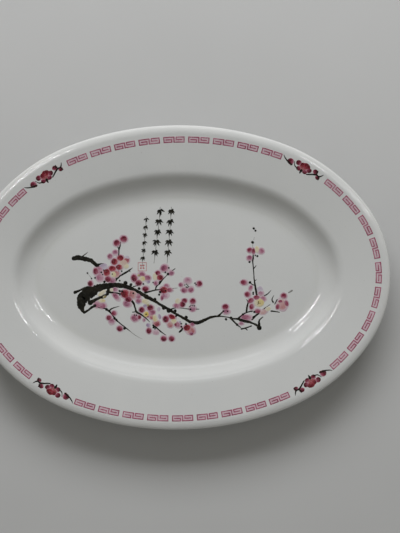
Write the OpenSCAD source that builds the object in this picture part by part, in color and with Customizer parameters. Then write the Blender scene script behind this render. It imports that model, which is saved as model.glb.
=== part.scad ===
// Oval china serving platter: fired body, clear glaze, key-fret border,
// four rim sprays and a flowering plum branch across the flat well.
// Millimetres. The platter lies flat on its foot ring, +Z up, long axis on X,
// origin under the middle of the oval at the bottom of the foot.

/* [Outline] */
// Overall length, glazed
platter_l = 305; // [296:1:330]
// How much larger the corner arcs' radius is than the end arcs'
corner_step = 48; // [40:1:56]
// How much larger the side arcs' radius is than the corner arcs'
side_step = 85; // [70:1:95]

/* [Section] */
// Thickness of floor, wall and rim, glazed
wall = 4.4; // [3.6:0.1:5]
// Thickness of the clear glaze coat
glaze_t = 0.25; // [0.15:0.05:0.4]
// Height of the well floor above the table
floor_z = 9.6; // [9:0.1:12]
// Distance from the outer edge to the start of the flat floor
cove_d = 53; // [50:0.5:56]
// Radius of the cove between floor and wall
cove_r = 20; // [15:0.5:22]
// Steepest slope of the well wall
wall_slope = 47; // [35:1:52]
// Radius of the shoulder between wall and rim
shoulder_r = 11.5; // [9:0.5:13]
// Slope of the wide rim
rim_slope = 9.5; // [5:0.5:12]
// Radius of the rolled lip
lip_r = 9; // [7:0.5:11]
// How far the lip rolls over past level
lip_roll = 22; // [10:1:30]

/* [Foot] */
// Distance in from the edge of the flat floor to the middle of the foot ring
foot_in = 4.8; // [4.7:0.1:5.2]
// Width of the foot ring near the table
foot_w = 4.6; // [3.8:0.1:4.9]
// Rounding of the foot's two bottom edges
foot_round = 1.1; // [0.8:0.1:1.5]
// Lean of the foot's sides
foot_lean = 10; // [4:1:14]
// Fillet where the foot meets the underside
foot_fillet = 1.8; // [1:0.1:2]
// Height of the bare, unglazed bottom of the foot
bare_h = 1.2; // [1:0.1:1.8]

/* [Border] */
// Distance from the outer edge to the middle of the border
border_d = 9.3; // [8.5:0.1:11]
// Height of a fret mark
fret_h = 4.45; // [3.8:0.05:5]
// Width of the fret line
fret_line = 0.8; // [0.6:0.05:0.95]
// Number of fret marks in each run
fret_count = 9; // [8:1:10]
// Space between two fret marks
fret_gap = 2.5; // [1.8:0.1:3.5]
// Space left between two runs for a spray
spray_gap = 35.7; // [34:0.1:39]
// How far the whole border was laid askew, in degrees anticlockwise
border_turn = 1.1; // [-1.5:0.1:1.5]
// How far the whole border was laid off the middle, along the platter
border_x = 0.8; // [-1.5:0.1:1.5]
// How far the whole border was laid off the middle, across the platter
border_y = -1.1; // [-1.5:0.1:1.5]

/* [Print] */
// How far the printed enamel stands proud of the glaze
print_t = 0.15; // [0.1:0.01:0.25]
// Radius of a full blossom's petals
petal_r = 3; // [2:0.1:3.4]

/* [Hidden] */
$fn = 96;

china = [0.94, 0.95, 0.92];
biscuit = [0.9, 0.87, 0.8];
carmine = [0.62, 0.2, 0.33];
crimson = [0.5, 0.05, 0.13];
pink = [0.82, 0.42, 0.55];
lilac = [0.72, 0.58, 0.74];
straw = [0.86, 0.74, 0.3];
ink = [0.12, 0.1, 0.1];
vermilion = [0.75, 0.36, 0.33];

// ---- The oval: three arcs to a quarter, each starting square to the one before ----
// Directions at which the arcs meet, as exact cosines and sines
end_dir = [0.8, 0.6];
side_dir = [0.352, 0.936];
end_turn = atan2(end_dir.y, end_dir.x);
side_start = atan2(side_dir.y, side_dir.x);
end_c = [corner_step * end_dir.x + side_step * side_dir.x, 0];
corner_c = end_c - corner_step * end_dir;
side_c = corner_c - side_step * side_dir;
end_r = platter_l / 2 - end_c.x;
corner_r = end_r + corner_step;
side_r = corner_r + side_step;

ARC_R = [end_r, corner_r, side_r];
ARC_C = [end_c, corner_c, side_c];

// Angle of a direction seen from its own quarter's long axis
function fold(a) =
    let (m = (a % 360 + 360) % 360)
    m > 270 ? 360 - m : m > 180 ? m - 180 : m > 90 ? 180 - m : m;
function arc_of(a) = fold(a) < end_turn ? 0 : fold(a) < side_start ? 1 : 2;
function centre_of(a) = [sign(cos(a)) * ARC_C[arc_of(a)].x, sign(sin(a)) * ARC_C[arc_of(a)].y];
// Point of the oval that faces direction a, moved in from the edge by d
function oval_point(a, d) = centre_of(a) + (ARC_R[arc_of(a)] - d) * [cos(a), sin(a)];

// ---- The section: x is 0 at the outer edge and negative inwards ----
// The turned rings reach in to join_d, and the flat slab laps over them from slab_edge
join_d = cove_d + 10;
slab_edge = cove_d + 9;
slab_points = 72;
// Widest step, in degrees, along the section's rounded stretches
arc_step = 8;
// Distance from the outer edge to the middle of the foot ring
foot_d = cove_d + foot_in;
cove_c = [-cove_d, floor_z + cove_r];
shoulder_c = cove_c + (cove_r + shoulder_r) * [sin(wall_slope), -cos(wall_slope)];
shoulder_end = shoulder_c + shoulder_r * [-sin(rim_slope), cos(rim_slope)];
lip_reach = lip_r * sin(rim_slope) + (lip_r - wall / 2) * sin(lip_roll) + wall / 2;
rim_l = (-shoulder_end.x - lip_reach) / cos(rim_slope);
rim_end = shoulder_end + rim_l * [cos(rim_slope), sin(rim_slope)];
lip_c = rim_end + lip_r * [sin(rim_slope), -cos(rim_slope)];
edge_c = lip_c + (lip_r - wall / 2) * [sin(lip_roll), cos(lip_roll)];

// Height of the rim's top face at distance d in from the edge
function rim_z(d) = shoulder_end.y + (-d - shoulder_end.x) * tan(rim_slope);

// How far the rim's prints reach down into the glaze, to meet it all over where it curves
print_sink = print_t * 0.7;

// ---- The border: distance along it from the right-hand end, anticlockwise ----
degree = PI / 180;
function band_r(i) = ARC_R[i] - border_d;
end_run = band_r(0) * end_turn * degree;
corner_run = band_r(1) * (side_start - end_turn) * degree;
side_run = band_r(2) * (90 - side_start) * degree;
quarter = end_run + corner_run + side_run;
fret_pitch = (quarter - spray_gap + fret_gap) / fret_count;
fret_l = fret_pitch - fret_gap;

function turn_in_quarter(s) =
    s < end_run ? s / band_r(0) / degree :
    s < end_run + corner_run ? end_turn + (s - end_run) / band_r(1) / degree :
    side_start + (s - end_run - corner_run) / band_r(2) / degree;
// Direction faced by the border at distance s along it
function turn_at(s) =
    let (q = floor(s / quarter), t = s - q * quarter)
    q % 2 == 0 ? 90 * q + turn_in_quarter(t) : 90 * (q + 1) - turn_in_quarter(quarter - t);

// Arc whose stretch of the oval the point f of the first quarter lies beside
function arc_beside(f) = cross(end_dir, f - end_c) < 0 ? 0 : cross(side_dir, f - corner_c) < 0 ? 1 : 2;
// Point of the border at distance s, with the border laid a little askew
function border_point(s) =
    let (p = oval_point(turn_at(s), border_d), c = cos(border_turn), t = sin(border_turn))
    [p.x * c - p.y * t + border_x, p.x * t + p.y * c + border_y];

// One fret mark, as fractions of its length and height from the inner left corner
FRET_PATH = [
    [0.09, 0.5], [0.385, 0.5], [0.385, 0], [0, 0], [0, 1], [0.5, 1],
    [0.5, 0], [1, 0], [1, 1], [0.615, 1], [0.615, 0.5], [0.91, 0.5]
];

// One rim spray, seen from the middle of the platter, inner side down:
// petals and buds are x, y, radius; twigs are x, y, half width
SPRAY_PETALS = [
    [3.8, -0.6, 1.7], [0.7, 1, 2.3], [-1.5, 0.8, 1.9], [-5.1, 1, 1.7], [-3.4, -2.6, 1.6],
    [1.7, -2.9, 1.6], [-0.8, -0.8, 2], [11.8, -1.5, 1.5], [8.4, 1.1, 1.7], [-10.8, -0.6, 2]
];
SPRAY_TWIGS = [
    [[14.1, 1.8, 0.1], [13, 0.2, 0.45], [11.8, -0.9, 0.5]],
    [[10.2, -0.3, 0.3], [7.9, -1.3, 0.45], [5.8, -2.6, 0.45], [3.8, -3.8, 0.3]],
    [[-1, -3.2, 0.9], [-1.1, -5.2, 0.35]],
    [[-4.4, -3, 0.35], [-6.7, -2.2, 0.3], [-7.8, -0.5, 0.2], [-8.2, 0.7, 0.15]],
    [[-9.5, -2.4, 0.6], [-12.9, -1.3, 0.45], [-15, -0.1, 0.35], [-16.3, 1, 0.25], [-17, 1.9, 0.12]]
];
// A spray is laid in three flat pieces: from x, to x, and where each touches the rim
SPRAY_PIECES = [[-20, -7, -12], [-7, 6, -1], [6, 20, 10]];

// ---- The branch in the well: x, y, half width ----
TRUNK = [
    [-65.6, -26, 0.6], [-67.5, -21, 2.8], [-66.4, -15.2, 4.4], [-60, -9.6, 3.7], [-54, -7, 2.4],
    [-47.5, -5.8, 1.9], [-40.5, -6, 1.8], [-33, -8.2, 1.6], [-22.5, -13.8, 1.7], [-11.5, -20, 1.3],
    [-4.5, -24, 1.3], [3, -28.8, 1.3], [10, -32.4, 1.5], [15.5, -33, 1.5], [22, -30.4, 1.2],
    [28, -28.6, 0.8], [35, -28.6, 0.7], [43.5, -30, 0.8], [48, -30.8, 1.1], [54, -32.6, 0.9],
    [58.5, -35.5, 1.6], [60, -36.6, 1.2]
];
TWIGS = [
    [[-74.5, 13.5, 1.8], [-68, 13.6, 1.8], [-62, 11.8, 1.4], [-58, 8.6, 1.3], [-53.5, 9, 1], [-51, 3, 0.6]],
    [[-73, -11, 0.3], [-66, -7.4, 0.9], [-59, -6, 1]],
    [[-65.5, -24, 0.6], [-59, -21, 1], [-53, -22.5, 0.9], [-49, -24.8, 0.8], [-45, -30, 0.7],
     [-37.5, -37.5, 0.6], [-32, -40, 0.4], [-26, -44, 0.15]],
    [[-49, -24.8, 0.5], [-46.5, -22.5, 0.5], [-41, -21.2, 0.3]],
    [[-44, -5, 0.6], [-43.6, 0, 0.5], [-34, 5, 0.4]],
    [[-42, 14.5, 0.3], [-42, 20, 0.35], [-41.5, 23.5, 0.2]],
    [[-21.5, -12.5, 0.6], [-15.5, -9.5, 0.5], [-8.5, -9, 0.5], [-1, -9, 0.2]],
    [[-15.5, -9.5, 0.5], [-13, -5, 0.5], [-7.5, 1, 0.5], [-1, 6, 0.2]],
    [[-4.5, -23.8, 0.6], [-1, -22.2, 0.6], [17, -23.5, 0.3]],
    [[-34, -8, 1], [-32, -17, 0.8], [-30, -24, 0.8], [-25, -27.5, 0.8], [-19.5, -32, 0.7],
     [-12, -39, 0.6], [-8, -42, 0.3]],
    [[40, -29.4, 0.6], [44, -34, 0.6], [48.5, -37.8, 0.5], [51, -38.2, 0.3]],
    [[30.5, -28.4, 0.5], [33.5, -24.5, 0.4], [35, -21.5, 0.3]],
    [[44.5, -30.2, 0.5], [51, -24.6, 0.5], [54.5, -24.6, 0.3]],
    [[55.5, -32, 0.5], [59, -27, 0.5], [66, -21, 0.3]],
    [[57.5, -14, 0.6], [56.5, -3, 0.6], [55.4, 4.6, 0.6], [55, 19, 0.5], [54.8, 26, 0.3],
     [56.5, 34, 0.15]],
    [[63.5, -13.5, 0.4], [68.5, -9.3, 0.3]],
    [[66, -23, 0.4], [69, -15, 0.4], [70.5, -18.5, 0.5], [74.5, -20, 0.3]]
];
KNOTS = [
    [-68, -22, 2], [-62, -9, 1.8], [-46.5, -3.2, 1.4], [-15.5, -15.2, 1.2], [-9.5, -21.8, 1.1],
    [-6, -24.8, 1.1], [7, -29.6, 1.1], [12.5, -34.8, 1], [3, -37.5, 0.9], [59.5, -37, 1.9],
    [54.8, 25.5, 0.7], [56.5, 33.5, 0.7]
];

// Blossoms: x, y, size against a full blossom, turn of the first petal
CRIMSON_BLOSSOMS = [[-42, 12, 0.75, 20], [-29, -2.2, 0.8, 40], [-9, -9.5, 0.8, 10], [-22.5, -24.5, 0.85, 30]];
PINK_BLOSSOMS = [
    [-55, 4.5, 0.85, 0], [-46.5, 2, 0.9, 30], [-25, -1, 0.8, 12], [7, -7.5, 0.9, 0],
    [9.5, -31.5, 0.9, 20], [59, -19, 1, 10], [76, -19, 0.8, 30], [57, 19, 0.8, 0]
];
LILAC_BLOSSOMS = [[-14, 0, 0.8, 20], [-3, -33, 0.8, 0], [-6, 4, 0.75, 40]];
// Single petals and buds: x, y, radius
LOOSE_PINK = [[-54.5, -20, 2], [-44, -14.5, 2.3], [-27, -15.5, 2.4], [-29.5, -29, 2.7], [50, -29.5, 2]];
BUDS = [
    [-43, 24, 2.5], [-38.5, 27.5, 2.8], [-62, -4, 1.7], [-45.5, -26.5, 1.7], [-40, -37, 2.1],
    [-22, -8.5, 1.8], [15.5, -5, 2.4], [11.3, -18.4, 2.1], [11.3, -23.2, 2], [-20, -38.7, 1.8],
    [-9, -44.5, 2], [-3.6, -44.3, 2], [35, -21, 2], [49, -3.8, 1.9], [53.5, -8, 1.8], [51.5, -12.5, 1.8],
    [53, 13.5, 1.8], [60.5, -10, 2], [65.5, -23, 1.6]
];
heart_r = 1.4;
PETALS_PER_BLOSSOM = 5;
// How far out the petals' middles stand, and each petal's radius, against the blossom's petal_r
petal_out = 1.15;
petal_round = 0.8;

// Hanging leaf columns: x of the top, y of the top, step down, lean per step, marks, leaf length
LEAF_RIGHT = [-3.8, 47, 7.4, -0.6, 5, 3.6];
LEAF_MIDDLE = [-11.8, 47, 7.4, -0.9, 5, 3.6];
LEAF_LEFT = [-21.8, 41.4, 5.6, -0.5, 6, 2.3];
// Directions of the leaves in a fan, and half widths against leaf length or in millimetres
LEAF_FAN = [35, 150, 205, 250, 290, 335];
leaf_fat = 0.16;
leaf_tip = 0.05;
stem_half = 0.15;

emblem_c = [-24.8, 7.4];
emblem_w = 6.4;
emblem_line = 0.45;
// How far out the emblem's four petals stand, against its width
emblem_petal = 0.2;

// ---- Shared shapes ----
function flat_dir(p, q) = let (v = [q.x - p.x, q.y - p.y]) v / norm(v);
function left_of(v) = [-v.y, v.x];
// Edge point of a stroke at its point i, mitred between the two segments that meet there
function edge_point(path, i, side) =
    let (last = len(path) - 1,
         before = left_of(i == 0 ? flat_dir(path[0], path[1]) : flat_dir(path[i - 1], path[i])),
         after = i == last ? before : left_of(flat_dir(path[i], path[i + 1])),
         mitre = (before + after) / (1 + before * after))
    [path[i].x, path[i].y] + side * path[i][2] * mitre;

module stroke(path) {
    last = len(path) - 1;
    polygon(concat(
        [for (i = [0:last]) edge_point(path, i, 1)],
        [for (i = [last:-1:0]) edge_point(path, i, -1)]
    ));
}

// Points of an arc after its first, about c from direction a0 to a1
function arc_on(c, r, a0, a1) =
    let (steps = ceil(abs(a1 - a0) / arc_step))
    [for (i = [1:steps]) let (a = a0 + (a1 - a0) * i / steps) c + r * [cos(a), sin(a)]];

// The platter's outline in section, grown outwards all round by grow, from the floor out over
// the lip and back under to the foot ring
function section_points(grow) = let (
    under_z = floor_z - wall - grow,
    mid = foot_w / 2 - foot_round,
    corner = foot_round + grow,
    side_x = mid + corner * cos(foot_lean),
    side_z = corner - corner * sin(foot_lean),
    fillet = foot_fillet - grow,
    fillet_z = under_z - fillet,
    fillet_x = side_x + (fillet_z + fillet * sin(foot_lean) - side_z) * tan(foot_lean)
        + fillet * cos(foot_lean)
) concat(
    [[-join_d, floor_z + grow], [-cove_d, floor_z + grow]],
    arc_on(cove_c, cove_r - grow, -90, wall_slope - 90),
    arc_on(shoulder_c, shoulder_r + grow, 90 + wall_slope, 90 + rim_slope),
    [lip_c + (lip_r + grow) * [-sin(rim_slope), cos(rim_slope)]],
    arc_on(lip_c, lip_r + grow, 90 + rim_slope, 90 - lip_roll),
    arc_on(edge_c, wall / 2 + grow, 90 - lip_roll, -90 - lip_roll),
    arc_on(lip_c, lip_r - wall - grow, 90 - lip_roll, 90 + rim_slope),
    [shoulder_c + (shoulder_r - wall - grow) * [-sin(rim_slope), cos(rim_slope)]],
    arc_on(shoulder_c, shoulder_r - wall - grow, 90 + rim_slope, 90 + wall_slope),
    arc_on(cove_c, cove_r + wall + grow, wall_slope - 90, -90),
    [[-foot_d + fillet_x, under_z]],
    arc_on([-foot_d + fillet_x, fillet_z], fillet, 90, 180 - foot_lean),
    [[-foot_d + side_x, side_z]],
    arc_on([-foot_d + mid, corner], corner, -foot_lean, -90),
    [[-foot_d - mid, 0]],
    arc_on([-foot_d - mid, corner], corner, -90, foot_lean - 180),
    [[-foot_d - fillet_x, fillet_z] + fillet * [cos(foot_lean), sin(foot_lean)]],
    arc_on([-foot_d - fillet_x, fillet_z], fillet, foot_lean, 90),
    [[-join_d, under_z]]
);

// One arc's ring, kept between the two directions where the next arcs take over
module turned_sector(arc, from_dir, to_dir, flip) {
    centre = [ARC_C[arc].x * flip.x, ARC_C[arc].y * flip.y];
    from = platter_l * [from_dir.x * flip.x, from_dir.y * flip.y];
    to = platter_l * [to_dir.x * flip.x, to_dir.y * flip.y];
    intersection() {
        translate(centre) rotate_extrude() translate([ARC_R[arc], 0]) children();
        translate([0, 0, -wall]) linear_extrude(floor_z + cove_d)
            polygon([centre, centre + from, centre + from + to, centre + to]);
    }
}

// Turns a section round the whole oval: two ends, two sides and four corners
module turn_section() {
    for (x = [-1, 1]) turned_sector(0, [end_dir.x, -end_dir.y], end_dir, [x, 1]) children();
    for (y = [-1, 1]) turned_sector(2, side_dir, [-side_dir.x, side_dir.y], [1, y]) children();
    for (x = [-1, 1]) for (y = [-1, 1]) turned_sector(1, end_dir, side_dir, [x, y]) children();
}

module floor_slab(z, t) {
    translate([0, 0, z]) linear_extrude(t)
        polygon([for (i = [0:slab_points - 1]) oval_point((i + 0.5) * 360 / slab_points, slab_edge)]);
}

// ---- Body and glaze ----
module porcelain_body() {
    color(biscuit) union() {
        turn_section() polygon(section_points(-glaze_t));
        floor_slab(floor_z - wall + glaze_t, wall - 2 * glaze_t);
    }
}

module glaze_coat() {
    color(china) difference() {
        union() {
            turn_section() polygon(section_points(0));
            floor_slab(floor_z - wall, wall);
        }
        turn_section() polygon(section_points(-glaze_t));
        floor_slab(floor_z - wall + glaze_t, wall - 2 * glaze_t);
        translate([-platter_l / 2, -platter_l / 2, -bare_h])
            cube([platter_l, platter_l, 2 * bare_h]);
    }
}

// ---- Border ----
// Places a print on the rim at distance s: its x runs clockwise, its y outwards up the slope
module on_rim(s) {
    p = border_point(s);
    folded = [abs(p.x), abs(p.y)];
    arc = arc_beside(folded);
    out = folded - ARC_C[arc];
    facing = atan2(sign(p.y) * out.y, sign(p.x) * out.x);
    translate([p.x, p.y, rim_z(ARC_R[arc] - norm(out))]) rotate(facing - 90) rotate([rim_slope, 0, 0])
        translate([0, 0, -print_sink]) linear_extrude(print_t + print_sink) children();
}

module fret_mark() {
    size = [fret_l - fret_line, fret_h - fret_line];
    stroke([for (p = FRET_PATH) [(p.x - 0.5) * size.x, (p.y - 0.5) * size.y, fret_line / 2]]);
}

module fret_run(side) {
    color(carmine) for (i = [0:fret_count - 1])
        on_rim(quarter * side + (i - (fret_count - 1) / 2) * fret_pitch) fret_mark();
}

module rim_blossom(corner) {
    color(crimson) for (piece = SPRAY_PIECES)
        on_rim(quarter * (corner + 0.5) - piece[2]) translate([-piece[2], 0])
            for (p = SPRAY_PETALS) if (p.x > piece[0] && p.x < piece[1])
                translate([p.x, p.y]) circle(p[2], $fn = 32);
}

module rim_twig(corner) {
    color(ink) for (piece = SPRAY_PIECES)
        on_rim(quarter * (corner + 0.5) - piece[2]) translate([-piece[2], 0])
            for (twig = SPRAY_TWIGS) if (twig[0].x > piece[0] && twig[0].x < piece[1]) stroke(twig);
}

// ---- Printing in the well ----
module well_print(tint) {
    color(tint) translate([0, 0, floor_z]) linear_extrude(print_t) children();
}

module petals_of(blossoms) {
    for (b = blossoms) for (i = [0:PETALS_PER_BLOSSOM - 1]) {
        a = b[3] + i * 360 / PETALS_PER_BLOSSOM;
        r = petal_r * b[2];
        translate([b.x, b.y] + r * petal_out * [cos(a), sin(a)]) circle(r * petal_round, $fn = 32);
    }
}

module discs(list) {
    for (p = list) translate([p.x, p.y]) circle(p[2], $fn = 32);
}

// The branch's colours, uppermost first
LAYERS = ["hearts", "crimson", "pink", "lilac", "buds", "knots", "trunk", "twigs"];
module art(layer) {
    if (layer == "hearts") discs([
        for (b = concat(CRIMSON_BLOSSOMS, PINK_BLOSSOMS, LILAC_BLOSSOMS)) [b.x, b.y, heart_r * b[2]]
    ]);
    if (layer == "crimson") petals_of(CRIMSON_BLOSSOMS);
    if (layer == "pink") {
        petals_of(PINK_BLOSSOMS);
        discs(LOOSE_PINK);
    }
    if (layer == "lilac") petals_of(LILAC_BLOSSOMS);
    if (layer == "buds") discs(BUDS);
    if (layer == "knots") discs(KNOTS);
    if (layer == "trunk") stroke(TRUNK);
    if (layer == "twigs") for (twig = TWIGS) stroke(twig);
}

// One colour of the branch, with the colours above it left clear
module branch_layer(number, tint) {
    well_print(tint) difference() {
        art(LAYERS[number]);
        for (above = [0:1:number - 1]) art(LAYERS[above]);
    }
}

// A hanging stem with a fan of three pointed leaves at each step
module leaf_column(c) {
    top = [c[0], c[1]];
    step = [c[3], -c[2]];
    marks = c[4];
    leaf = c[5];
    foot = top + step * marks;
    well_print(ink) {
        stroke([[top.x, top.y + leaf, stem_half], [foot.x, foot.y, stem_half]]);
        for (i = [0:marks - 1]) {
            p = top + i * step;
            for (a = LEAF_FAN) stroke([
                [p.x, p.y, leaf_tip * 2],
                [p.x + leaf / 2 * cos(a), p.y + leaf / 2 * sin(a), leaf * leaf_fat],
                [p.x + leaf * cos(a), p.y + leaf * sin(a), leaf_tip]
            ]);
        }
    }
}

module square_emblem() {
    petal = emblem_w * emblem_petal;
    well_print(vermilion) translate(emblem_c) {
        difference() {
            square(emblem_w, center = true);
            square(emblem_w - 2 * emblem_line, center = true);
        }
        for (a = [45:90:315]) translate(petal * [cos(a), sin(a)]) circle(petal * petal_round * 0.8, $fn = 24);
    }
}

porcelain_body();
glaze_coat();
fret_run(0);  // fret_right
fret_run(1);  // fret_back
fret_run(2);  // fret_left
fret_run(3);  // fret_front
rim_twig(0);  // rim_twig_back_right
rim_twig(1);  // rim_twig_back_left
rim_twig(2);  // rim_twig_front_left
rim_twig(3);  // rim_twig_front_right
rim_blossom(0);  // rim_blossom_back_right
rim_blossom(1);  // rim_blossom_back_left
rim_blossom(2);  // rim_blossom_front_left
rim_blossom(3);  // rim_blossom_front_right
branch_layer(0, straw);  // flower_hearts
branch_layer(1, crimson);  // petals_crimson
branch_layer(2, pink);  // petals_pink
branch_layer(3, lilac);  // petals_lilac
branch_layer(4, crimson);  // flower_buds
branch_layer(5, ink);  // branch_knots
branch_layer(6, ink);  // branch_trunk
branch_layer(7, ink);  // branch_twigs
leaf_column(LEAF_RIGHT);  // leaf_column_right
leaf_column(LEAF_MIDDLE);  // leaf_column_middle
leaf_column(LEAF_LEFT);  // leaf_column_left
square_emblem();
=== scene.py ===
"""An oval china serving platter: glazed porcelain, a key-fret border, four rim sprays and a
flowering plum branch in overglaze enamel. Lengths are in millimetres until place() turns them
into metres. Every printed colour is a thin raised film of its own on top of the glaze."""
from random import Random
from math import atan2, ceil, copysign, cos, dist, floor, hypot, pi, radians, sin, sqrt, tan
import bpy
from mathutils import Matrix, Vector
from mathutils.noise import noise


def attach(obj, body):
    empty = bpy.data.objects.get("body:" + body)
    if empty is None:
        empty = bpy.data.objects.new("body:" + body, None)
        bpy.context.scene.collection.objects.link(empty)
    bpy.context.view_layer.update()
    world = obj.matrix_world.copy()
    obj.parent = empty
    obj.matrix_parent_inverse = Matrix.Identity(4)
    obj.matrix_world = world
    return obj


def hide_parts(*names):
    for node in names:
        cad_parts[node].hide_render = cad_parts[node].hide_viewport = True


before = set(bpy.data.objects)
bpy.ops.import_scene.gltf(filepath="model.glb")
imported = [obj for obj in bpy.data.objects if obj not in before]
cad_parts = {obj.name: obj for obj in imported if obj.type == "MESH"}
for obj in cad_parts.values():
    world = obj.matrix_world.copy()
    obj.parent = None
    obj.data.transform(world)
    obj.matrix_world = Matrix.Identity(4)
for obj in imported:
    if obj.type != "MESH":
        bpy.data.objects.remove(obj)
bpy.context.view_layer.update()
scene = bpy.context.scene

MM = 0.001
ROOT = "root"
draw = Random(20).uniform

# ---- The platter's sizes, as the CAD source states them ----
PLATTER_L = 305
END_DIR = (0.8, 0.6)
SIDE_DIR = (0.352, 0.936)
CORNER_STEP = 48
SIDE_STEP = 85
WALL = 4.4
GLAZE_T = 0.25
FLOOR_Z = 9.6
COVE_D = 53
COVE_R = 20
WALL_SLOPE = radians(47)
SHOULDER_R = 11.5
RIM_SLOPE = radians(9.5)
LIP_R = 9
LIP_ROLL = radians(22)
FOOT_D = COVE_D + 4.8
FOOT_W = 4.6
FOOT_ROUND = 1.1
FOOT_LEAN = radians(10)
FOOT_FILLET = 1.8
BARE_H = 1.2
BORDER_D = 9.3
FRET_H = 4.45
FRET_LINE = 0.8
FRET_COUNT = 9
FRET_GAP = 2.5
SPRAY_GAP = 35.7
BORDER_TURN = radians(1.1)
BORDER_SHIFT = (0.8, -1.1)
# Where the floor's flat middle begins, above and inside the foot
JOIN_D = COVE_D + 10
RECESS_D = JOIN_D + 1

# ---- The oval: arcs of three radii to a quarter ----
END_TURN = atan2(END_DIR[1], END_DIR[0])
SIDE_START = atan2(SIDE_DIR[1], SIDE_DIR[0])
END_C = (CORNER_STEP * END_DIR[0] + SIDE_STEP * SIDE_DIR[0], 0.0)
CORNER_C = (END_C[0] - CORNER_STEP * END_DIR[0], -CORNER_STEP * END_DIR[1])
SIDE_C = (0.0, CORNER_C[1] - SIDE_STEP * SIDE_DIR[1])
END_R = PLATTER_L / 2 - END_C[0]
ARC_R = (END_R, END_R + CORNER_STEP, END_R + CORNER_STEP + SIDE_STEP)
ARC_C = (END_C, CORNER_C, SIDE_C)
QUARTER_TURN = pi / 2
ARC_FROM = (0.0, END_TURN, SIDE_START, QUARTER_TURN)
ANGLE_SLACK = 1e-6


def oval_point(a, d):
    """Point of the oval that faces direction a, moved in from the edge by d."""
    across, up = cos(a), sin(a)
    folded = atan2(abs(up), abs(across))
    arc = 0 if folded < END_TURN else 1 if folded < SIDE_START else 2
    cx, cy = ARC_C[arc]
    r = ARC_R[arc] - d
    return copysign(cx, across) + r * across, copysign(1, up) * cy + r * up


# ---- The section: x is 0 at the outer edge and negative inwards ----
COVE_C = (-COVE_D, FLOOR_Z + COVE_R)
SHOULDER_C = (COVE_C[0] + (COVE_R + SHOULDER_R) * sin(WALL_SLOPE),
              COVE_C[1] - (COVE_R + SHOULDER_R) * cos(WALL_SLOPE))
SHOULDER_END = (SHOULDER_C[0] - SHOULDER_R * sin(RIM_SLOPE),
                SHOULDER_C[1] + SHOULDER_R * cos(RIM_SLOPE))
LIP_REACH = LIP_R * sin(RIM_SLOPE) + (LIP_R - WALL / 2) * sin(LIP_ROLL) + WALL / 2
RIM_L = (-SHOULDER_END[0] - LIP_REACH) / cos(RIM_SLOPE)
RIM_END = (SHOULDER_END[0] + RIM_L * cos(RIM_SLOPE),
           SHOULDER_END[1] + RIM_L * sin(RIM_SLOPE))
LIP_C = (RIM_END[0] + LIP_R * sin(RIM_SLOPE), RIM_END[1] - LIP_R * cos(RIM_SLOPE))
EDGE_C = (LIP_C[0] + (LIP_R - WALL / 2) * sin(LIP_ROLL),
          LIP_C[1] + (LIP_R - WALL / 2) * cos(LIP_ROLL))
# Cuts along the section's straight stretches, and how much coarser its small arcs are cut
FLOOR_CUTS = 3
RIM_CUTS = 5
UNDER_CUTS = 4
EDGE_COARSER = 1.6
FILLET_COARSER = 2


def rim_z(d):
    """Height of the top face at distance d in from the edge, on the rim and over the lip."""
    past = -d - RIM_END[0]
    if past <= 0:
        return RIM_END[1] + past * tan(RIM_SLOPE)
    return LIP_C[1] + sqrt(LIP_R ** 2 - (-d - LIP_C[0]) ** 2)


def depth_at(x, y):
    """Section x of a point in plan: minus its distance in from the edge."""
    x, y = abs(x), abs(y)
    best = -JOIN_D
    for (cx, cy), r, a0, a1 in zip(ARC_C, ARC_R, ARC_FROM, ARC_FROM[1:]):
        a = atan2(y - cy, x - cx)
        if a0 - ANGLE_SLACK <= a <= a1 + ANGLE_SLACK:
            best = max(best, hypot(x - cx, y - cy) - r)
    return best


def arc(c, r, a0, a1, step):
    """Points of an arc about c from direction a0 to a1, both ends included."""
    n = max(2, ceil(abs(a1 - a0) / step))
    return [(c[0] + r * cos(a0 + (a1 - a0) * i / n), c[1] + r * sin(a0 + (a1 - a0) * i / n))
            for i in range(n + 1)]


def line(p, q, n):
    """Points between p and q, neither end included."""
    return [(p[0] + (q[0] - p[0]) * i / n, p[1] + (q[1] - p[1]) * i / n) for i in range(1, n)]


def foot_side(grow, z):
    """Half width of the foot at height z on its leaning side, grown by grow."""
    corner = FOOT_ROUND + grow
    side_z = corner - corner * sin(FOOT_LEAN)
    mid = FOOT_W / 2 - FOOT_ROUND
    return mid + corner * cos(FOOT_LEAN) + (z - side_z) * tan(FOOT_LEAN)


def fillet_of(grow):
    """Radius, middle and underside height of the fillet between foot and underside."""
    r = FOOT_FILLET - grow
    under_z = FLOOR_Z - WALL - grow
    z = under_z - r
    x = foot_side(grow, z + r * sin(FOOT_LEAN)) + r * cos(FOOT_LEAN)
    return r, x, z, under_z


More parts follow.
